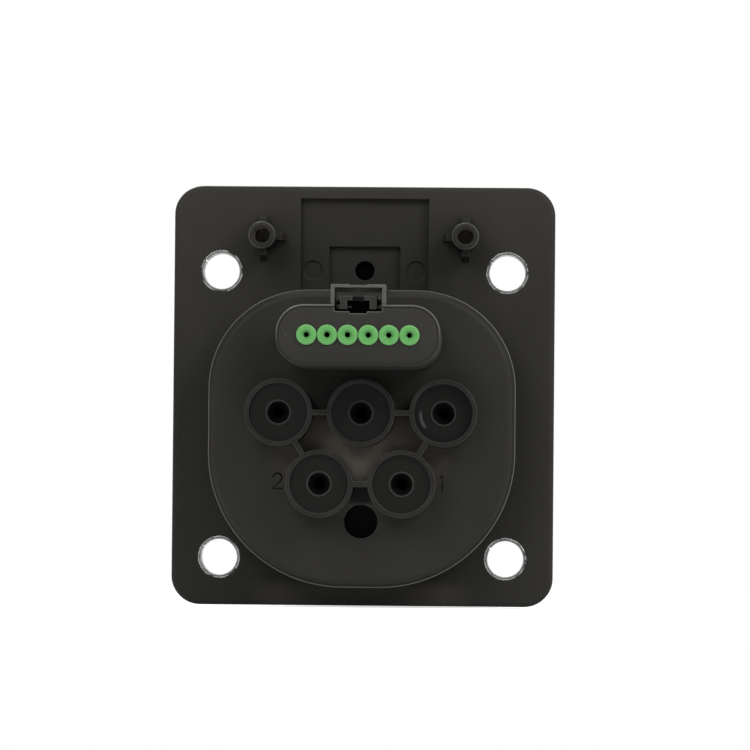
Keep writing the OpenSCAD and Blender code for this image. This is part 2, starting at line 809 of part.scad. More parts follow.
// Turned power contact: slotted socket, shoulder and crimp barrel.
module power_contact(p) {
    barrel_l = barrel_end - barrel_y;
    color([0.8, 0.78, 0.74]) difference() {
        turned(p[0], p[1]) difference() {
            union() {
                translate([0, socket_y]) square([socket_r, shoulder_y - socket_y]);
                translate([0, shoulder_y]) square([shoulder_d / 2, shoulder_t]);
                translate([0, barrel_y]) square([barrel_d / 2, barrel_l]);
            }
            translate([-cut, socket_y - cut]) square([socket_d / 2 + cut, socket_depth + cut]);
            translate([-cut, barrel_y]) square([barrel_bore / 2 + cut, barrel_l + cut]);
            translate([socket_r - spring_t, spring_y]) square([spring_t + cut, spring_w]);
            polygon([
                [0, socket_y - cut], [socket_d / 2 + socket_wall / 2, socket_y],
                [socket_d / 2, socket_y + socket_wall / 2], [0, socket_y + socket_wall / 2]
            ]);
        }
        for (turn = [0, 90]) translate([p[0], 0, p[1]]) rotate([0, turn, 0])
            block([-finger_slot / 2, socket_y - cut, -tower_d / 2],
                [finger_slot / 2, socket_y + finger_l, tower_d / 2]);
    }
}

// Split spring rings that close the power sockets' fingers.
module contact_springs() {
    color([0.62, 0.62, 0.6]) for (p = POWER) difference() {
        turned(p[0], p[1]) translate([socket_r - spring_t + seat_gap, spring_y + seat_gap])
            square([spring_t - seat_gap, spring_w - 2 * seat_gap]);
        translate([p[0], 0, p[1]])
            block([-spring_split / 2, spring_y - cut, 0],
                [spring_split / 2, spring_y + spring_w + cut, tower_d]);
    }
}

// Rubber seal round a power wire, with three lips and a bead round its hole.
module wire_seal(p) {
    end = tube_y - seal_sunk - p[2];
    start = end - wire_seal_l;
    r = tube_bore / 2 - seat_gap;
    hole = wire_hole / 2;
    color([0.11, 0.11, 0.11]) turned(p[0], p[1]) difference() {
        union() {
            translate([hole, start]) square([r - hole, wire_seal_l - hole_bead]);
            translate([hole, start]) square([bead_w, wire_seal_l]);
        }
        for (y = [start + groove_in, end - hole_bead - groove_in - groove_w])
            translate([r - seal_groove, y]) square([seal_groove + cut, groove_w]);
    }
}

// Turned signal contact: socket, shoulder and the tail that passes through the board.
module signal_contact(x) {
    color([0.8, 0.78, 0.74]) turned(x, signal_z) difference() {
        union() {
            translate([0, signal_socket_y]) square([signal_r, signal_shoulder_y - signal_socket_y]);
            translate([0, signal_shoulder_y]) square([signal_shoulder_d / 2, signal_shoulder_t]);
            translate([0, signal_shoulder_y]) square([tail_d / 2, board_back + tail_d - signal_shoulder_y]);
        }
        translate([-cut, signal_socket_y - cut]) square([signal_d / 2 + cut, signal_depth + cut]);
    }
}

// Board that joins the signal contacts and sensors to the header pins.
module signal_board() {
    color([0.1, 0.32, 0.2]) difference() {
        block([-board_w / 2, board_y, board_low], [board_w / 2, board_back, board_high]);
        for (x = SIGNAL_X) rod(x, signal_z, board_y - cut, board_back + cut, tail_d + 2 * seat_gap);
        for (x = WAYS) rod(x, plug_z, board_y - cut, board_back + cut, sqrt(2) * pin_w + 2 * seat_gap);
    }
}

// Bead thermistor that lies against the outer power tube, on two leads to the board.
module temperature_sensor(side) {
    reach = (tube_d + bead_d) / 2 + seat_gap;
    x = side * (contact_pitch - reach * cos(sensor_angle));
    z = reach * sin(sensor_angle);
    y = board_back + bead_d / 2;
    lead_top = board_low + bead_d;
    color([0.15, 0.15, 0.14]) {
        translate([x, y, z]) sphere(d = bead_d);
        for (lead_x = [x - lead_pitch / 2, x + lead_pitch / 2]) {
            translate([lead_x, y, z]) cylinder(d = lead_d, h = lead_top - z);
            rod(lead_x, lead_top - lead_d / 2, board_back, y, lead_d);
        }
    }
}

// Six square pins from the board through the housing into the plug.
module header_pins() {
    color([0.78, 0.74, 0.62]) for (x = WAYS) pin_bar(x, pin_start, shroud_y - shroud_room, pin_w);
}

// Signal plug: hood, core, latch arch and the cut-out for the lever.
module signal_plug() {
    color([0.24, 0.24, 0.23]) difference() {
        union() {
            difference() {
                translate([0, 0, plug_z])
                    edged(plug_half_w, plug_half_h, plug_half_h, plug_corner, plug_corner)
                        plate_section(hood_y, plug_rear, plug_edge, plug_edge);
                slab(hood_y - cut, core_y) difference() {
                    plug_outline(hood_wall);
                    plug_outline(core_in);
                }
                block([-arch_in, arch_y, cut_z], [arch_in, plug_rear + cut, arch_top]);
                block([-lever_w / 2 - hook_gap, well_y, well_z],
                    [lever_w / 2 + hook_gap, plug_rear - well_sill, arch_top]);
                block([-sill_notch / 2, plug_rear - well_sill - cut, cut_z - sill_notch_h],
                    [sill_notch / 2, plug_rear + cut, arch_top]);
                block([-catch_w / 2 - hook_gap, hood_y - cut, plug_top - core_in],
                    [catch_w / 2 + hook_gap, core_y, arch_top]);
            }
            latch_arch();
        }
        for (x = WAYS) {
            pin_bar(x, hood_y - cut, plug_rear - seal_bore_l + cut, terminal_w + 2 * slot_gap);
            rod(x, plug_z, plug_rear - seal_bore_l, plug_rear + cut, seal_bore);
        }
    }
}

// Guard over the lever's end, with the two walls that carry its pivot.
module latch_arch() {
    bar_y = plug_rear - arch_bar_l;
    half = arch_w / 2;
    difference() {
        union() {
            for (side = [-1, 1]) mirror([side < 0 ? 1 : 0, 0, 0])
                block([arch_in, arch_y, cut_z], [half, plug_rear, arch_top]);
            block([-half, bar_y, arch_top - arch_bar], [half, plug_rear, arch_top]);
            block([-half, bar_y, arch_top - arch_rib], [half, bar_y + arch_bar, arch_top]);
        }
        block([-arch_notch / 2, plug_rear - arch_bar_l / 2, arch_top - arch_bar / 2],
            [arch_notch / 2, plug_rear + cut, arch_top + cut]);
        translate([-arch_w, pivot_y, pivot_z]) rotate([0, 90, 0])
            cylinder(d = pivot_d + 2 * pivot_gap, h = 2 * arch_w);
    }
}

// Rubber ring between the plug's core and the header's shroud.
module plug_ring_seal() {
    color([0.55, 0.2, 0.14]) slab(core_y - ring_seal_l, core_y) difference() {
        plug_outline(shroud_bore + seat_gap);
        plug_outline(core_in - seat_gap);
    }
}

// Crimped socket terminal in one way of the plug.
module plug_terminal(i) {
    front = face_y + terminal_gap;
    color([0.76, 0.74, 0.7]) difference() {
        pin_bar(WAYS[i], front, plug_rear - seal_bore_l, terminal_w);
        pin_bar(WAYS[i], front - cut, shroud_y, pin_w + 2 * seat_gap);
    }
}

// Green seal round a signal wire, with a flange on the plug's rear face.
module green_seal(i) {
    hole = signal_wire / 2;
    end = plug_rear + flange_t;
    color([0.36, 0.62, 0.35]) turned(WAYS[i], plug_z) difference() {
        union() {
            translate([hole, plug_rear - green_l]) square([seal_bore / 2 - seat_gap - hole, green_l]);
            translate([hole, plug_rear]) square([flange_d / 2 - hole, flange_t]);
        }
        polygon([
            [0, end - dish_depth], [hole, end - dish_depth],
            [dish_d / 2, end], [dish_d / 2, end + cut], [0, end + cut]
        ]);
        translate([flange_d / 2, end]) circle(flange_round);
    }
}

// Latch lever: plate, forked end, pivot bar and the hook that holds the catch.
module latch_lever() {
    half = lever_w / 2;
    bar = arch_w / 2 - pivot_gap;
    color([0.2, 0.2, 0.19]) {
        difference() {
            block([-half, hook_front, lever_low], [half, lever_end, lever_top]);
            block([-lever_notch / 2, lever_end - lever_notch_l, lever_low - cut],
                [lever_notch / 2, lever_end + cut, lever_top + cut]);
        }
        for (side = [-1, 1]) mirror([side < 0 ? 1 : 0, 0, 0])
            block([half - leg_w, lever_end - leg_l, lever_low - leg_h], [half, lever_end, lever_top]);
        translate([-catch_w / 2, 0, 0]) rotate([90, 0, 90]) linear_extrude(catch_w) polygon([
            [hook_front, lever_top], [hook_front, (hook_low + lever_low) / 2],
            [hook_back - hook_l / 3, hook_low], [hook_back, hook_low], [hook_back, lever_top]
        ]);
        translate([-bar, pivot_y, pivot_z]) rotate([0, 90, 0]) cylinder(d = pivot_d, h = 2 * bar);
    }
}

flange_housing();
contact_carrier();
rear_housing();
carrier_seal();
power_tower(POWER[0]);  // power_tower_1
power_tower(POWER[1]);  // power_tower_2
power_tower(POWER[2]);  // power_tower_3
power_tower(POWER[3]);  // power_tower_4
power_tower(POWER[4]);  // power_tower_5
signal_tower(SIGNAL_X[0]);  // signal_tower_1
signal_tower(SIGNAL_X[1]);  // signal_tower_2
drain_cap();
bush(-1, 1);  // bush_1
bush(1, 1);  // bush_2
bush(-1, -1);  // bush_3
bush(1, -1);  // bush_4
power_contact(POWER[0]);  // power_contact_1
power_contact(POWER[1]);  // power_contact_2
power_contact(POWER[2]);  // power_contact_3
power_contact(POWER[3]);  // power_contact_4
power_contact(POWER[4]);  // power_contact_5
contact_springs();
wire_seal(POWER[0]);  // wire_seal_1
wire_seal(POWER[1]);  // wire_seal_2
wire_seal(POWER[2]);  // wire_seal_3
wire_seal(POWER[3]);  // wire_seal_4
wire_seal(POWER[4]);  // wire_seal_5
signal_contact(SIGNAL_X[0]);  // signal_contact_1
signal_contact(SIGNAL_X[1]);  // signal_contact_2
signal_board();
temperature_sensor(-1);  // temperature_sensor_1
temperature_sensor(1);  // temperature_sensor_2
header_pins();
signal_plug();
plug_ring_seal();
plug_terminal(0);  // plug_terminal_1
plug_terminal(1);  // plug_terminal_2
plug_terminal(2);  // plug_terminal_3
plug_terminal(3);  // plug_terminal_4
plug_terminal(4);  // plug_terminal_5
plug_terminal(5);  // plug_terminal_6
green_seal(0);  // green_seal_1
green_seal(1);  // green_seal_2
green_seal(2);  // green_seal_3
green_seal(3);  // green_seal_4
green_seal(4);  // green_seal_5
green_seal(5);  // green_seal_6
latch_lever();
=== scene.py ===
"""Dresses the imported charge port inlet: finishes, knurls, wire lips, moulded digits, light and camera."""

import json
import math

import bpy
from mathutils import Matrix, Vector


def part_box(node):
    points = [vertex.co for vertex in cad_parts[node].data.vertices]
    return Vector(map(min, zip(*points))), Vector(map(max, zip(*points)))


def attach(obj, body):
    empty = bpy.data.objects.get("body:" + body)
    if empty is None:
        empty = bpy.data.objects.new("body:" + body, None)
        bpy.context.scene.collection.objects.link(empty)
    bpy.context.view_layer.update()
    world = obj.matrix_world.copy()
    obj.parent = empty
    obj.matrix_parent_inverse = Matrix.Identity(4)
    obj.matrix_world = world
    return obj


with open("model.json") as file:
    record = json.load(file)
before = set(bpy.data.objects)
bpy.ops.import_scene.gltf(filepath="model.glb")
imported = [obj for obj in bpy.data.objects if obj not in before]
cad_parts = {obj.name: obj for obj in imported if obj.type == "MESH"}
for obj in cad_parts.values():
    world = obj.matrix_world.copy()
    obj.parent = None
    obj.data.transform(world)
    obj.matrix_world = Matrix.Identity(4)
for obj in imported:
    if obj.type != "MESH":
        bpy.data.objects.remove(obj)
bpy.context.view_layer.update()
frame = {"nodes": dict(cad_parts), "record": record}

MM = 0.001

# The photograph's camera, measured from the middle of the bolt square
PHOTO_PIXELS = 750
FOCAL_PIXELS = 4767
SENSOR_WIDTH = 36
CAMERA_DISTANCE = 1.0
CAMERA_YAW = math.radians(1.668)
CAMERA_PITCH = math.radians(1.452)
CAMERA_ROLL = math.radians(0.515)
ORIGIN_PIXEL = (363.2, 414.9)

# Places that the small detail sits on, read from the frame
plate_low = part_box("flange_housing")[0]
hood_low, hood_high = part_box("signal_plug")
bush_low, bush_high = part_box("bush_1")
seal_low, seal_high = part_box("green_seal_1")
next_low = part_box("green_seal_2")[0]
MOUNTS = {mount["name"]: mount for mount in frame["record"]["mounts"]}


def seal_end(number):
    """Middle of a wire seal's rear end."""
    low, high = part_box(f"wire_seal_{number}")
    return Vector(((low.x + high.x) / 2, high.y, (low.z + high.z) / 2))


SEAL_ENDS = [seal_end(number) for number in range(1, 6)]
PRESSED_SEAL = min(SEAL_ENDS, key=lambda end: end.y)

# Levels and outlines that the finishes follow, in millimetres
LIP_TOP = 10
HOUSING_FACE = 11
TUBE_END = 18
PLUG_REAR = hood_high.y / MM
PLUG_MIDDLE = (seal_low.z + seal_high.z) / 2 / MM
PLUG_HALF_W = (hood_high.x - hood_low.x) / 2 / MM
PLUG_HALF_H = PLUG_MIDDLE - hood_low.z / MM
PLUG_CORNER = 5.7
BOLT_HALF = MOUNTS["flange_bolts"]["dims"]["spacing_x_mm"] / 2
BOSS_X = MOUNTS["lock_bosses"]["dims"]["spacing_x_mm"] / 2
BOSS_Z = MOUNTS["lock_bosses"]["pos_m"][2] / MM

# Marks on the flange, mostly painted light and shade: the recess's floor lies between the first two levels,
# the mating side in front
MATING_LEVEL = -3.4
RECESS_LEVEL = -0.4
RECESS_HALF = 13.8
RECESS_TOP = 45.7
# Where the painted light starts: the flange paler upwards from the first, and towards its right edge past the
# next two
TOP_LIGHT_FOOT = 4
SIDE_LIGHT_START = -8
EDGE_LIGHT_START = -36.5
# The housing's foot and half width, with a painted lift of the shade under it
HOUSING_FOOT = -34.5
HOUSING_FOOT_HALF = 24
# Middle and reach of the painted shade round the bosses
BOSS_SHADE = (18, 33)
BOSS_SHADE_REACH = (11, 8)
# Radius and level of the painted highlight round the boss rims, and the radius of the screw holes
BOSS_RIM = 2.72
BOSS_RIM_LEVEL = 8.8
BOSS_HOLE = 1.68

# Painted light and shade, and other marks, on the rear housing and the plug
ARCH_HALF = 5.4
ARCH_FOOT = 20
# Foot and middle gap of the painted highlight along the housing's top
CROWN_FOOT = 23.5
CROWN_HALF = 4.5
# Painted shadow next to the plug, and painted shade under the web over the drain
PLUG_SHADOW = (22.5, 12)
PLUG_SHADOW_REACH = (9, 11)
WEB_SHADOW_MIDDLE = -16.8
WEB_SHADOW_HALF = (3.2, 2.2)
# A pale warm patch in the pocket between the tubes
POCKET = (0.4, -9.0)
POCKET_REACH = (7.5, 5)
POCKET_PALE = (0.124, 0.107, 0.089, 1)
# How far the paler arch reaches in front of the plug's rear
ARCH_PATCH_DEPTH = 6
# Painted highlight on the plug's rim, and the seam inside it, as distances in from its outline
PLUG_RIM = 0.17
PLUG_SEAM = 0.5

# Radii of the painted highlight on a pressed seal and of marks on the bushes
SEAL_HIGHLIGHT = 4.7
BUSH_LINE = 4.04
BUSH_OUTER_RIM = 4.1

# A level behind the whole part, for metal with no dark end, oxidised and painted shade
NO_DARK_END = 60


class Signal:
    """One output of a node tree. Its operators add Math nodes."""

    def __init__(self, nodes, socket):
        self.nodes = nodes
        self.socket = socket

    def maths(self, operation, first, second=0.0):
        return self.nodes.node("ShaderNodeMath", {"operation": operation}, {0: first, 1: second})

    def __add__(self, other):
        return self.maths("ADD", self, other)

    def __radd__(self, other):
        return self.maths("ADD", other, self)

    def __sub__(self, other):
        return self.maths("SUBTRACT", self, other)

    def __rsub__(self, other):
        return self.maths("SUBTRACT", other, self)

    def __mul__(self, other):
        return self.maths("MULTIPLY", self, other)

    def __rmul__(self, other):
        return self.maths("MULTIPLY", other, self)

    def __truediv__(self, other):
        return self.maths("DIVIDE", self, other)

    def __pow__(self, other):
        return self.maths("POWER", self, other)

    def __abs__(self):
        return self.maths("ABSOLUTE", self)

    def fraction(self):
        return self.maths("FRACT", self)

    def larger(self, other):
        return self.maths("MAXIMUM", self, other)

    def limited(self):
        """The value kept between 0 and 1."""
        return self.nodes.node("ShaderNodeClamp", {}, {"Value": self})


class Nodes:
    """A node tree under construction."""

    def __init__(self, tree):
        self.tree = tree

    def node(self, kind, settings=None, inputs=None, output=0):
        """Adds a node: its settings first, then the values or links of its sockets."""
        made = self.tree.nodes.new(kind)
        for name, value in (settings or {}).items():
            setattr(made, name, value)
        for key, value in (inputs or {}).items():
            if isinstance(value, Signal):
                self.tree.links.new(value.socket, made.inputs[key])
            else:
                made.inputs[key].default_value = value
        return Signal(self, made.outputs[output]) if len(made.outputs) else None


class Finish(Nodes):
    """A procedural material, with sizes in millimetres."""

    def __init__(self, name):
        self.material = bpy.data.materials.new(name)
        self.material.use_nodes = True
        super().__init__(self.material.node_tree)
        self.tree.nodes.clear()

    def place(self, stretch=(1, 1, 1)):
        """Where a point lies on the object, stretched along each axis for streaks."""
        metres = self.node("ShaderNodeTexCoord", {}, {}, "Object")
        scale = [part / MM for part in stretch]
        return self.node("ShaderNodeVectorMath", {"operation": "MULTIPLY"}, {0: metres, 1: scale})

    def axes(self, place):
        """A place's x, y and z."""
        return [self.node("ShaderNodeSeparateXYZ", {}, {0: place}, axis) for axis in range(3)]

    def length(self, sideways, height):
        """Distance from a middle, given both ways to it."""
        return (sideways * sideways + height * height) ** 0.5

    def patch(self, across, up, middle, reach):
        """Distance from a patch's middle, in shares of its reach each way."""
        return self.length((across - middle[0]) / reach[0], (up - middle[1]) / reach[1])

    def noise(self, place, per_mm, detail=2.0):
        return self.node("ShaderNodeTexNoise", {}, {"Vector": place, "Scale": per_mm, "Detail": detail})

    def specks(self, place, per_mm, share):
        """Small round specks on that share of the cells."""
        cells = {"Vector": place, "Scale": per_mm}
        near = self.node("ShaderNodeTexVoronoi", {}, cells, "Distance")
        pick = self.node("ShaderNodeTexVoronoi", {}, cells, "Color")
        chosen = ((share - self.axes(pick)[0]) * 1000).limited()
        return chosen * (1 - near * 5).limited()

    def mix(self, share, first, second):
        return self.node("ShaderNodeMix", {"data_type": "RGBA"}, {0: share, 6: first, 7: second}, 2)

    def rounded(self, radius):
        """The surface's direction with its sharp edges broken by a small radius."""
        return self.node("ShaderNodeBevel", {"samples": 6}, {"Radius": radius * MM})

    def corner(self, reach):
        """1 along outer corners, falling to 0 on flat faces and in inner corners."""
        settings = {"inside": True, "only_local": True, "samples": 8}
        inward = self.node("ShaderNodeAmbientOcclusion", settings, {"Distance": reach * MM}, "AO")
        return ((1 - inward) * 2.2).limited()

    def bump(self, height, depth, rounded):
        inputs = {"Height": height, "Distance": depth * MM, "Normal": rounded}
        return self.node("ShaderNodeBump", {}, inputs)

    def surface(self, inputs):
        shader = self.node("ShaderNodeBsdfPrincipled", {}, inputs)
        self.node("ShaderNodeOutputMaterial", {}, {"Surface": shader})
        return self.material


def grey(level, warm=0.0):
    """A near-neutral colour, a little warmer than grey."""
    return (level, level * (1 - 0.45 * warm), level * (1 - 1.5 * warm), 1)


def moulded_plastic(name, level, roughness, grain, edge_level, extras=None):
    """Glass-filled black plastic: eroded mould grain, slow drift of shade, dust and edges painted paler as
    wear and as painted highlight.
    """
    finish = Finish(name)
    place = finish.place()
    rounded = finish.rounded(0.4)
    corner = finish.corner(0.24)
    drift = finish.noise(place, 0.05, 3)
    pitted = finish.noise(place, 3.4, 3)
    flow = finish.noise(finish.place((0.25, 0.9, 0.06)), 0.6, 2)
    dust = finish.specks(place, 0.55, 0.1)
    shade = (drift * 0.7 + flow * 0.3).limited()
    tone = finish.mix(shade, grey(level * 0.82, 0.09), grey(level * 1.2, 0.09))
    # Outer corners painted paler: partly wear, partly a painted highlight where edges catch the light
    lit_worn_edges = finish.mix((corner * 0.8 + dust * 0.2).limited(), tone, grey(edge_level, 0.04))
    if extras:
        lit_worn_edges = extras(finish, place, lit_worn_edges, corner)
    return finish.surface({
        "Base Color": lit_worn_edges,
        "Roughness": (roughness + (pitted - 0.5) * 0.22 + (drift - 0.5) * 0.1 - corner * 0.08).limited(),
        "Normal": finish.bump(pitted, grain, rounded),
        "Specular IOR Level": 0.1,
    })


def flange_painted_light(finish, place, tone, corner):
    """Painted light on the flange: paler towards the top and the right, and lifted under the housing and on
    the mating side.

    Painted shade round the bosses and in the recess, a painted highlight round the boss rims, and pale brown
    inside the screw holes.
    """
    across, along, up = finish.axes(place)
    smear = finish.noise(finish.place((1, 1, 0.3)), 0.09, 3)
    outer = ((along - MATING_LEVEL) * 4).limited()
    # Painted light: the flange paler towards the top, as light falls from above, and towards its right edge;
    # the mating side lifted too
    top_light = ((up - TOP_LIGHT_FOOT) / 60 + (smear - 0.5) * 0.5).limited()
    edge = ((EDGE_LIGHT_START - across) * 0.25).limited() * 0.7
    side = (((SIDE_LIGHT_START - across) / 40).limited() * 0.45).larger(edge)
    mating = (1 - outer) * (0.3 + smear * 0.5)
    lit_sides = finish.mix((top_light.larger(side) * outer + mating).limited(), tone, grey(0.0285, 0.13))
    # Painted light: a paler strip lifting the shade under the housing
    under = ((HOUSING_FOOT - up) * 0.5).limited() * ((HOUSING_FOOT_HALF - abs(across)) * 0.15).limited()
    lifted_under = finish.mix(under * outer * 0.7, lit_sides, grey(0.042, 0.13))
    # Painted shade round the bosses
    boss_shade = (1.3 - finish.patch(abs(across), up, BOSS_SHADE, BOSS_SHADE_REACH)).limited()
    marked = finish.mix(boss_shade * outer * (0.3 + smear * 0.3), lifted_under, grey(0.003))
    # Painted shade on the floor of the recess
    within = ((RECESS_HALF - abs(across)) * 4).limited() * ((RECESS_TOP - up) * 4).limited()
    sunk = ((RECESS_LEVEL - along) * 4).limited() * outer * within
    shaded = finish.mix(sunk * 0.3, marked, grey(0.003))
    radius = finish.length(abs(across) - BOSS_X, up - BOSS_Z)
    # Painted highlight: a pale ring round each boss rim
    boss_rim_highlight = (1.2 - abs(radius - BOSS_RIM) * 7).limited() * ((along - BOSS_RIM_LEVEL) * 4).limited()
    edged = finish.mix(boss_rim_highlight * (0.25 + smear * 0.6), shaded, grey(0.1, 0.02))
    # Pale brown inside the screw holes
    hole = ((BOSS_HOLE - radius) * 20).limited() * ((BOSS_RIM_LEVEL + 0.2 - along) * 3).limited()
    return finish.mix(hole * outer, edged, grey(0.26, 0.17))


def cover_marks_and_light(finish, place, tone, corner):
    """Painted highlights on the lip and along the top of the housing, darker patches on the tube rims and a
    pale warm patch in the pocket.

    Painted shadow next to the plug and painted shade under the web over the drain.
    """
    across, along, up = finish.axes(place)
    low = ((LIP_TOP + 0.15 - along) * 8).limited()
    clear = ((abs(across) - ARCH_HALF) * 2).limited().larger(((ARCH_FOOT - up) * 0.5).limited())
    # Painted highlight: a bright line on the lip's outer corner, kept off where the arch stands over it
    lip_highlight = finish.mix(corner * low * clear, tone, grey(0.17, 0.03))
    cloud = finish.noise(place, 0.3, 3)
    rim = ((along - TUBE_END + 0.1) * 10).limited() * (1 - corner * 1.5).limited()
    ringed = finish.mix(rim * ((cloud - 0.35) * 4).limited() * 0.6, lip_highlight, grey(0.008, 0.06))
    # Painted highlight: a paler band along the housing's top, which faces the light from above
    aside = ((abs(across) - CROWN_HALF) * 0.22).limited()
    top_highlight = (up - CROWN_FOOT).limited() * ((HOUSING_FACE - along) * 1.6).limited() * aside
    lit = finish.mix(top_highlight * 0.45, ringed, grey(0.05, 0.05))
    # Painted shadow of the plug to one side, and painted shade under the web over the drain
    shadow_by_plug = (1.2 - finish.patch(across, up, PLUG_SHADOW, PLUG_SHADOW_REACH)).limited()
    half_w, half_h = WEB_SHADOW_HALF
    web_shadow = ((half_w - abs(across)) * 0.8).limited() * ((half_h - abs(up - WEB_SHADOW_MIDDLE)) * 1.2).limited()
    floor = ((HOUSING_FACE + 0.2 - along) * 8).limited()
    marked = finish.mix((shadow_by_plug * 0.42).larger(web_shadow * 0.62) * floor, lit, grey(0.002))
    # A pale warm patch in the pocket between the tubes
    away = finish.patch(across, up, POCKET, POCKET_REACH)
    near = (1.3 - away).limited().larger(((2.6 - away) * 0.6).limited() * 0.85)
    clean = (1 - web_shadow).limited()
    pale_patchiness = (near * clean * floor * (0.6 + cloud * 0.7)).limited()
    return finish.mix(pale_patchiness, marked, POCKET_PALE)


def hood_marks_and_light(finish, place, tone, corner):
    """Paler arch, painted shade on the plug's lower half, a painted highlight on its upper rim and the fine
    seam round its rear panel.
    """
    across, along, up = finish.axes(place)
    high = ((up - (PLUG_MIDDLE + PLUG_HALF_H) - 0.1) * 3).limited()
    near = ((along - PLUG_REAR + ARCH_PATCH_DEPTH) * 0.8).limited()
    patchy = finish.noise(place, 0.5, 2)
    # The arch over the latch painted paler
    paler_arch = finish.mix((high * near * (0.3 + patchy * 0.8)).limited(), tone, grey(0.1, 0.05))
    sideways = (abs(across) - (PLUG_HALF_W - PLUG_CORNER)).larger(0)
    height = (abs(up - PLUG_MIDDLE) - (PLUG_HALF_H - PLUG_CORNER)).larger(0)
    inward = PLUG_CORNER - finish.length(sideways, height)
    rear = ((along - PLUG_REAR + 0.3) * 8).limited()
    upper = ((up - PLUG_MIDDLE) * 0.3 + 0.5).limited()
    # Painted shade: the plug darker towards its bottom, away from the light above
    below = ((PLUG_MIDDLE - up) / 8).limited() * rear
    shaded = finish.mix(below * 0.42, paler_arch, grey(0.008, 0.09))
    # Painted highlight along the rim, brighter on the upper half where the light falls
    rim = (1.3 - abs(inward - PLUG_RIM) * 5).limited() * rear
    rim_highlighted = finish.mix(rim * 0.6, shaded, finish.mix(upper, grey(0.012), grey(0.13, 0.05)))
    seam = (1.4 - abs(inward - PLUG_SEAM) * 8).limited() * rear
    return finish.mix(seam * (upper * 0.5 + 0.5), rim_highlighted, grey(0.002))


def black_rubber(name, low, high, edge_level):
    """Moulded seal rubber: smooth, a little blooming and lint, corners painted paler as wear and highlight,
    and a painted highlight on one pressed seal.
    """
    finish = Finish(name)
    place = finish.place()
    rounded = finish.rounded(0.2)
    corner = finish.corner(0.2)
    pale_patchiness = finish.noise(place, 0.22, 4)
    skin = finish.noise(place, 2.1, 2)
    lint = finish.specks(place, 0.9, 0.1)
    tone = finish.mix(pale_patchiness, grey(low, 0.09), grey(high, 0.09))
    # Outer corners painted paler: partly wear, partly a painted highlight round the hole's edge
    lit_worn_edges = finish.mix((lint * 0.2 + corner * 0.9).limited(), tone, grey(edge_level, 0.05))
    across, _, up = finish.axes(place)
    sideways = across - PRESSED_SEAL.x / MM
    height = up - PRESSED_SEAL.z / MM
    radius = finish.length(sideways, height)
    # Painted highlight: a pale crescent on the pressed seal, standing for a reflection
    facing = (sideways * 0.95 - height * 0.3) / radius
    crescent_highlight = ((facing - 0.9) * 18).limited() * (1.2 - abs(radius - SEAL_HIGHLIGHT) * 2.6).limited()
    return finish.surface({
        "Base Color": finish.mix(crescent_highlight * 0.8, lit_worn_edges, grey(0.085, 0.02)),
        "Roughness": (0.44 + (pale_patchiness - 0.5) * 0.3 + (skin - 0.5) * 0.1).limited(),
        "Normal": finish.bump(skin, 0.006, rounded),
        "Specular IOR Level": 0.09,
    })


def digit_black(name):
    """Strokes of the moulded digits, painted near-black as shade."""
    finish = Finish(name)
    mottle = finish.noise(finish.place(), 4.0, 2)
    return finish.surface({
        "Base Color": finish.mix(mottle, grey(0.003), grey(0.007)),
        "Roughness": 0.6 + mottle * 0.3,
        "Normal": finish.bump(mottle, 0.01, finish.rounded(0.05)),
        "Specular IOR Level": 0.05,
    })


def green_silicone(name):
    """Wire seals: rolled rim painted paler as highlight, dish round each hole painted darker as shade, a
    cloudy body.
    """
    finish = Finish(name)
    place = finish.place()
    rounded = finish.rounded(0.12)
    across, _, up = finish.axes(place)
    pitch = abs(next_low.x - seal_low.x) / MM
    middle = (seal_low + seal_high) / 2 / MM
    rim = (seal_high.x - seal_low.x) / MM / 2
    sideways = (((across - middle.x) / pitch + 0.5).fraction() - 0.5) * pitch
    height = up - middle.z
    out = finish.length(sideways, height) / rim
    cloud = finish.noise(place, 0.8, 3)
    skin = finish.noise(place, 3.0, 2)
    # Painted highlight on the rolled rim, painted shade in the dish round each hole
    pale = ((out - 0.72) * 5).limited()
    deep = ((0.5 - out) * 5).limited()
    body = finish.mix(cloud, (0.068, 0.25, 0.06, 1), (0.1, 0.31, 0.084, 1))
    rim_highlighted = finish.mix(pale * 0.55, body, (0.16, 0.41, 0.135, 1))
    return finish.surface({
        "Base Color": finish.mix(deep * 0.5, rim_highlighted, (0.03, 0.13, 0.03, 1)),
        "Roughness": (0.42 + (cloud - 0.5) * 0.25).limited(),
        "Normal": finish.bump(skin, 0.008, rounded),
        "Specular IOR Level": 0.3,
    })


def plain_silicone(name):
    """Ring seal of the plug."""
    finish = Finish(name)
    place = finish.place()
    cloud = finish.noise(place, 0.7, 3)
    return finish.surface({
        "Base Color": finish.mix(cloud, (0.24, 0.035, 0.022, 1), (0.34, 0.06, 0.035, 1)),
        "Roughness": 0.4 + cloud * 0.2,
        "Normal": finish.bump(cloud, 0.01, finish.rounded(0.1)),
    })


def bare_metal(name, dull, bright, roughness, stretch, scratch, dark_after=NO_DARK_END, rolled=False):
    """Metal with drawn or turned marks, spots of tarnish and a dark crimped end, oxidised and painted dark as
    shade.
    """
    finish = Finish(name)
    place = finish.place()
    rounded = finish.rounded(0.1)
    marks = finish.noise(finish.place(stretch), 2.4, 4)
    tarnish = finish.noise(place, 0.9, 4)
    # Dark end: oxidised metal, and painted shade for the dark inside the deep bores
    oxide_and_shade = (finish.axes(place)[1] - dark_after + tarnish * 0.5).limited()
    tone = finish.mix((tarnish * 1.5 - 0.3).limited(), bright, dull)
    if rolled:
        tone = rolled_rim(finish, place, tone)
    return finish.surface({
        "Base Color": finish.mix(oxide_and_shade, tone, grey(0.03, 0.05)),
        "Metallic": 1 - oxide_and_shade,
        "Roughness": (roughness + (marks - 0.5) * 0.3 + tarnish * 0.08 + oxide_and_shade * 0.5).limited(),
        "Normal": finish.bump(marks, scratch, rounded),
        "Specular IOR Level": 0.1,
    })


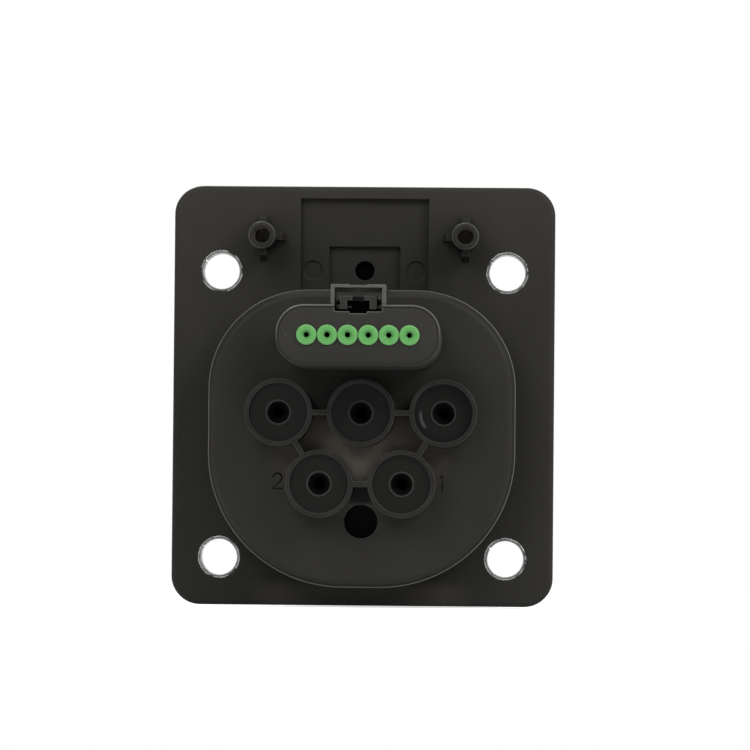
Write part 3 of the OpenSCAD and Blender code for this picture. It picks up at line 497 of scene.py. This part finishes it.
def rolled_rim(finish, place, tone):
    """A bush's rolled edge: a dark line between two turned rims, black plastic on parts of the outer one."""
    across, _, up = finish.axes(place)
    radius = finish.length(abs(across) - BOLT_HALF, abs(up) - BOLT_HALF)
    line = (1.2 - abs(radius - BUSH_LINE) * 8).limited()
    patchy = ((finish.noise(place, 0.42, 2) - 0.52) * 14).limited()
    smear = patchy * ((radius - BUSH_OUTER_RIM) * 12).limited()
    lined = finish.mix(line * 0.85, tone, grey(0.015, 0.03))
    return finish.mix(smear * 0.9, lined, grey(0.012, 0.05))


def solder_mask(name):
    """Board: green mask over a lattice of tracks."""
    finish = Finish(name)
    place = finish.place()
    up = finish.axes(place)[2]
    weave = finish.noise(place, 4.0, 1)
    lane = ((up * 0.62).fraction() - 0.5) * 2
    track = ((lane * lane - 0.42) * 20).limited()
    return finish.surface({
        "Base Color": finish.mix(track, (0.012, 0.085, 0.035, 1), (0.03, 0.16, 0.07, 1)),
        "Roughness": 0.3 + weave * 0.2,
        "Normal": finish.bump(track + weave * 0.1, 0.03, finish.rounded(0.1)),
    })


def dipped_resin(name):
    """Sensor bead: glossy dip coat with a faint orange peel."""
    finish = Finish(name)
    peel = finish.noise(finish.place(), 1.6, 2)
    return finish.surface({
        "Base Color": finish.mix(peel, grey(0.012), grey(0.03)),
        "Roughness": 0.2 + peel * 0.15,
        "Normal": finish.bump(peel, 0.02, finish.rounded(0.05)),
    })


# Finish of each material slot, and of the nodes and pieces that have one of their own
FINISHES = {
    "housing_plastic": moulded_plastic("housing_plastic", 0.0195, 0.5, 0.02, 0.05),
    "plug_plastic": moulded_plastic("plug_plastic", 0.0245, 0.46, 0.014, 0.085),
    "black_rubber": black_rubber("black_rubber", 0.0045, 0.0085, 0.06),
    "bush_steel": bare_metal(
        "bush_steel", grey(0.1, 0.03), grey(0.4, 0.01), 0.3, (1, 0.15, 1), 0.05, rolled=True,
    ),
    # Silver plate darkened inside the crimp barrels: partly oxidised, partly painted shade
    "silver_plate": bare_metal(
        "silver_plate", grey(0.5, 0.06), grey(0.82, 0.02), 0.24, (1, 6, 1), 0.004, dark_after=-9,
    ),
    "spring_steel": bare_metal(
        "spring_steel", grey(0.3, 0.02), grey(0.5, 0.01), 0.3, (1, 5, 1), 0.004,
    ),
    "circuit_board": solder_mask("circuit_board"),
    "sensor_resin": dipped_resin("sensor_resin"),
    # Tin darkened at the terminals' rear ends: partly oxidised, partly painted shade
    "tinned_brass": bare_metal(
        "tinned_brass", grey(0.48, 0.05), grey(0.74, 0.02), 0.3, (1, 0.4, 1), 0.006, dark_after=22,
    ),
    "red_silicone": plain_silicone("red_silicone"),
    "green_silicone": green_silicone("green_silicone"),
}
NODE_FINISHES = {
    "flange_housing": moulded_plastic("flange_plastic", 0.0135, 0.52, 0.02, 0.045, flange_painted_light),
    "rear_housing": moulded_plastic("cover_plastic", 0.0195, 0.5, 0.02, 0.05, cover_marks_and_light),
    # The hood's edges carry a stronger painted highlight
    "signal_plug": moulded_plastic("hood_plastic", 0.0245, 0.46, 0.014, 0.15, hood_marks_and_light),
}
# Near-black digits: painted shade
DIGIT_SHADE = digit_black("digit_black")
# A darker copy of the seal rubber for the lips deep in the holes: painted shade
LIP_RUBBER_SHADED = black_rubber("lip_rubber", 0.002, 0.004, 0.012)


def dress_nodes():
    """Gives every node of the frame its own finish, or else that of its slot."""
    for part in frame["record"]["subparts"]:
        mesh = frame["nodes"][part["node"]].data
        mesh.materials.clear()
        mesh.materials.append(NODE_FINISHES.get(part["node"], FINISHES[part["material_slot"]]))


class Shape(Nodes):
    """A geometry tree with named inputs, applied to a mesh of points or edges."""

    def __init__(self, name, sizes):
        super().__init__(bpy.data.node_groups.new(name, "GeometryNodeTree"))
        sockets = self.tree.interface
        sockets.new_socket("Geometry", in_out="INPUT", socket_type="NodeSocketGeometry")
        sockets.new_socket("Geometry", in_out="OUTPUT", socket_type="NodeSocketGeometry")
        kinds = {int: "NodeSocketInt", float: "NodeSocketFloat"}
        self.keys = {}
        for label, value in sizes.items():
            socket = sockets.new_socket(label, in_out="INPUT", socket_type=kinds[type(value)])
            self.keys[label] = socket.identifier
        self.entry = self.tree.nodes.new("NodeGroupInput")
        self.sizes = sizes

    def size(self, label):
        return Signal(self, self.entry.outputs[label])

    def drawn(self):
        return Signal(self, self.entry.outputs["Geometry"])

    def finish(self, made, material):
        """Ends the tree in plain geometry with a material."""
        real = self.node("GeometryNodeRealizeInstances", {}, {"Geometry": made})
        dressed = self.node("GeometryNodeSetMaterial", {}, {"Geometry": real, "Material": material})
        self.node("NodeGroupOutput", {}, {"Geometry": dressed})

    def applied(self, name, points, edges):
        """A plain mesh object, made by the tree from the given points and edges."""
        drawn = bpy.data.meshes.new(name)
        drawn.from_pydata(points, edges, [])
        piece = bpy.data.objects.new(name, drawn)
        bpy.context.scene.collection.objects.link(piece)
        modifier = piece.modifiers.new(name, "NODES")
        modifier.node_group = self.tree
        for label, value in self.sizes.items():
            modifier[self.keys[label]] = value
        seen = piece.evaluated_get(bpy.context.evaluated_depsgraph_get())
        mesh = bpy.data.meshes.new_from_object(seen)
        piece.modifiers.remove(modifier)
        piece.data = mesh
        return piece


def knurled_rims():
    """Broken ring of crimped teeth round each bush, where the steel bites into the flange."""
    places = [(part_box(f"bush_{i}")[0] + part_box(f"bush_{i}")[1]) / 2 for i in range(1, 5)]
    ends = [Vector((place.x, bush_high.y, place.z)) for place in places]
    shape = Shape("knurled_rim", {
        "Radius": (bush_high.x - bush_low.x) / 2 - 0.1 * MM,
        "Teeth": 72,
        "Tooth Width": 0.34 * MM,
        "Tooth Depth": 0.36 * MM,
        "Tooth Height": 0.5 * MM,
        "Share Lost": 0.47,
        "Seed": 7,
    })
    circle = {"Vertices": shape.size("Teeth"), "Radius": shape.size("Radius")}
    ring = shape.node("GeometryNodeMeshCircle", {}, circle)
    upright = shape.node("GeometryNodeTransform", {}, {"Geometry": ring, "Rotation": (math.pi / 2, 0, 0)})
    kept = shape.tree.nodes.new("GeometryNodeCaptureAttribute")
    kept.capture_items.new("VECTOR", "Outward")
    shape.tree.links.new(upright.socket, kept.inputs["Geometry"])
    shape.tree.links.new(shape.node("GeometryNodeInputPosition").socket, kept.inputs["Outward"])
    rings = shape.node("GeometryNodeInstanceOnPoints", {}, {
        "Points": shape.drawn(),
        "Instance": Signal(shape, kept.outputs["Geometry"]),
    })
    rims = shape.node("GeometryNodeRealizeInstances", {}, {"Geometry": rings})
    outward = Signal(shape, kept.outputs["Outward"])
    turn = shape.node("FunctionNodeAlignRotationToVector", {"axis": "X"}, {"Vector": outward})
    block = shape.node("ShaderNodeCombineXYZ", {}, {
        0: shape.size("Tooth Depth"), 1: shape.size("Tooth Height"), 2: shape.size("Tooth Width"),
    })
    tooth = shape.node("GeometryNodeMeshCube", {}, {"Size": block})
    uneven = shape.node("FunctionNodeRandomValue", {"data_type": "FLOAT_VECTOR"}, {
        0: (0.45, 0.55, 0.6), 1: (1.3, 1.15, 1.3), "Seed": shape.size("Seed"),
    })
    cloud = shape.node("ShaderNodeTexNoise", {}, {"Scale": 0.35 / MM, "Detail": 1.0})
    limits = {0: cloud, 1: shape.size("Share Lost")}
    present = shape.node("FunctionNodeCompare", {"operation": "GREATER_THAN"}, limits)
    teeth = shape.node("GeometryNodeInstanceOnPoints", {}, {
        "Points": rims, "Selection": present, "Instance": tooth, "Rotation": turn, "Scale": uneven,
    })
    shape.finish(teeth, FINISHES["bush_steel"])
    depth = Vector((0, 0.17 * MM, 0))
    return shape.applied("bush_knurls", [end - depth for end in ends], [])


# Strokes of the two digits beside the lower tubes, in shares of their height, seen from the rear
BOWL_TURNS = [math.radians(172 - 17 * i) for i in range(13)]
BOWL = [(0.29 * math.cos(turn), 0.21 + 0.29 * math.sin(turn)) for turn in BOWL_TURNS]
DIGITS = {
    "1": [(-0.13, 0.36), (0.02, 0.5), (0.02, -0.5)],
    "2": BOWL + [(-0.31, -0.5), (0.33, -0.5)],
}
DIGIT_DEPTH = 0.1 * MM
DIGIT_HEIGHT = 3.2 * MM
DIGIT_PLACES = {"1": (-16.8 * MM, -14.3 * MM), "2": (17.4 * MM, -14.1 * MM)}


def moulded_digits():
    """Thin moulded numbers of the two lower ways, on the housing's rear face."""
    shape = Shape("digit_stroke", {"Stroke": 0.21 * MM})
    path = shape.node("GeometryNodeMeshToCurve", {}, {"Mesh": shape.drawn()})
    circle = {"Resolution": 10, "Radius": shape.size("Stroke")}
    section = shape.node("GeometryNodeCurvePrimitiveCircle", {}, circle)
    swept = {"Curve": path, "Profile Curve": section, "Fill Caps": True}
    line = shape.node("GeometryNodeCurveToMesh", {}, swept)
    shape.finish(line, DIGIT_SHADE)
    points = []
    edges = []
    for digit, strokes in DIGITS.items():
        x, z = DIGIT_PLACES[digit]
        y = HOUSING_FACE * MM - DIGIT_DEPTH
        first = len(points)
        points += [(x - across * DIGIT_HEIGHT, y, z + up * DIGIT_HEIGHT) for across, up in strokes]
        edges += [(i, i + 1) for i in range(first, len(points) - 1)]
    return shape.applied("way_digits", points, edges)


def wire_lips():
    """Soft inner lip in each wire seal, which narrows its hole like a funnel."""
    shape = Shape("wire_lip", {
        "Lip Radius": 1.75 * MM,
        "Lip Reach": 1.3 * MM,
        "Lip Thickness": 0.2 * MM,
        "Lip Slant": math.radians(58),
    })
    circle = {"Resolution": 64, "Radius": shape.size("Lip Radius")}
    ring = shape.node("GeometryNodeCurvePrimitiveCircle", {}, circle)
    upright = shape.node("GeometryNodeTransform", {}, {"Geometry": ring, "Rotation": (math.pi / 2, 0, 0)})
    bead = shape.node("GeometryNodeCurvePrimitiveCircle", {}, {"Resolution": 16, "Radius": 1.0})
    stretch = shape.node("ShaderNodeCombineXYZ", {}, {
        0: shape.size("Lip Reach"), 1: shape.size("Lip Thickness"), 2: 1.0,
    })
    flat = shape.node("GeometryNodeTransform", {}, {"Geometry": bead, "Scale": stretch})
    slant = shape.node("ShaderNodeCombineXYZ", {}, {2: shape.size("Lip Slant")})
    section = shape.node("GeometryNodeTransform", {}, {"Geometry": flat, "Rotation": slant})
    lip = shape.node("GeometryNodeCurveToMesh", {}, {"Curve": upright, "Profile Curve": section})
    lips = shape.node("GeometryNodeInstanceOnPoints", {}, {"Points": shape.drawn(), "Instance": lip})
    shape.finish(lips, LIP_RUBBER_SHADED)
    depth = Vector((0, 1.6 * MM, 0))
    return shape.applied("wire_lips", [end - depth for end in SEAL_ENDS], [])


# Sizes of the studio in metres, with the floor's fade in millimetres, and the shares and powers of its light
FLOOR_HALF = 3.0
FLOOR_GAP = 0.3 * MM
FADE_START = 120
FADE_LENGTH = 260
FLOOR_GLOW = 0.6
SKY_LIGHT = 0.28
BOX_WIDTH = 0.3
BOX_HEIGHT = 0.36
LIGHT_BOXES = {
    "left_box": ((0.24, 0.5, 0.36), 1.85),
    "right_box": ((-0.42, 0.4, 0.4), 3.0),
    "front_box": ((0.2, -0.5, 0.42), 4.2),
}


def studio_floor():
    """Pale floor that fades to plain white away from the object."""
    size = FLOOR_HALF
    drop = plate_low.z - FLOOR_GAP
    mesh = bpy.data.meshes.new("floor")
    corners = [(-size, -size, drop), (size, -size, drop), (size, size, drop), (-size, size, drop)]
    mesh.from_pydata(corners, [], [(0, 1, 2, 3)])
    floor = bpy.data.objects.new("floor", mesh)
    bpy.context.scene.collection.objects.link(floor)
    finish = Finish("studio_floor")
    away = finish.node("ShaderNodeVectorMath", {"operation": "LENGTH"}, {0: finish.place()}, "Value")
    seen = shown_rays(finish)
    far = ((away - FADE_START) / FADE_LENGTH).limited()
    card = finish.node("ShaderNodeBsdfDiffuse", {}, {"Color": grey(0.86)})
    glow = finish.node("ShaderNodeEmission", {}, {"Color": grey(1.0), "Strength": FLOOR_GLOW})
    lit = finish.node("ShaderNodeAddShader", {}, {0: card, 1: glow})
    near = finish.node("ShaderNodeMixShader", {}, {0: seen, 1: card, 2: lit})
    white = finish.node("ShaderNodeEmission", {}, {"Color": grey(1.0), "Strength": 1.0})
    both = finish.node("ShaderNodeMixShader", {}, {0: far * seen, 1: near, 2: white})
    finish.node("ShaderNodeOutputMaterial", {}, {"Surface": both})
    mesh.materials.append(finish.material)


def shown_rays(nodes):
    """1 for what the camera sees straight, in a reflection or through glass."""
    kinds = ("Is Camera Ray", "Is Glossy Ray", "Is Transmission Ray")
    camera, glossy, through = [nodes.node("ShaderNodeLightPath", {}, {}, kind) for kind in kinds]
    return camera.larger(glossy).larger(through)


def studio_light():
    """White surround, two soft boxes high on either side of the camera and one for the mating side."""
    world = bpy.data.worlds.new("studio")
    bpy.context.scene.world = world
    world.use_nodes = True
    nodes = Nodes(world.node_tree)
    nodes.tree.nodes.clear()
    strength = shown_rays(nodes) * (1 - SKY_LIGHT) + SKY_LIGHT
    sky = nodes.node("ShaderNodeBackground", {}, {"Color": grey(1.0), "Strength": strength})
    nodes.node("ShaderNodeOutputWorld", {}, {"Surface": sky})
    for name, (spot, power) in LIGHT_BOXES.items():
        lamp = bpy.data.lights.new(name, "AREA")
        lamp.shape = "RECTANGLE"
        lamp.size = BOX_WIDTH
        lamp.size_y = BOX_HEIGHT
        lamp.energy = power
        box = bpy.data.objects.new(name, lamp)
        box.location = spot
        box.rotation_euler = (-Vector(spot)).to_track_quat("-Z", "Y").to_euler()
        bpy.context.scene.collection.objects.link(box)


def photo_camera():
    """A long lens a metre behind the flange, a little low and to one side, as in the photograph."""
    level = math.cos(CAMERA_PITCH)
    ahead = Vector((math.sin(CAMERA_YAW) * level, -math.cos(CAMERA_YAW) * level, math.sin(CAMERA_PITCH)))
    flat_right = Vector((-math.cos(CAMERA_YAW), -math.sin(CAMERA_YAW), 0))
    flat_up = flat_right.cross(ahead)
    right = flat_right * math.cos(CAMERA_ROLL) + flat_up * math.sin(CAMERA_ROLL)
    up = right.cross(ahead)
    half = PHOTO_PIXELS / 2
    aim = ahead * FOCAL_PIXELS + right * (half - ORIGIN_PIXEL[0]) + up * (ORIGIN_PIXEL[1] - half)
    aim.normalize()
    right = (right - aim * right.dot(aim)).normalized()
    up = right.cross(aim)
    lens = bpy.data.cameras.new("photo_camera")
    lens.sensor_width = SENSOR_WIDTH
    lens.lens = SENSOR_WIDTH * FOCAL_PIXELS / PHOTO_PIXELS
    lens.clip_start = 0.05
    camera = bpy.data.objects.new("photo_camera", lens)
    turn = Matrix((right, up, -aim)).transposed().to_4x4()
    camera.matrix_world = Matrix.Translation(-ahead * CAMERA_DISTANCE) @ turn
    bpy.context.scene.collection.objects.link(camera)
    bpy.context.scene.camera = camera


photo_camera()
dress_nodes()
pieces = (
    (knurled_rims(), "bush_steel"),
    (wire_lips(), "black_rubber"),
    (moulded_digits(), "housing_plastic"),
)
for piece, slot in pieces:
    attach(piece, "inlet")
studio_floor()
studio_light()
bpy.context.scene.view_settings.view_transform = "Standard"
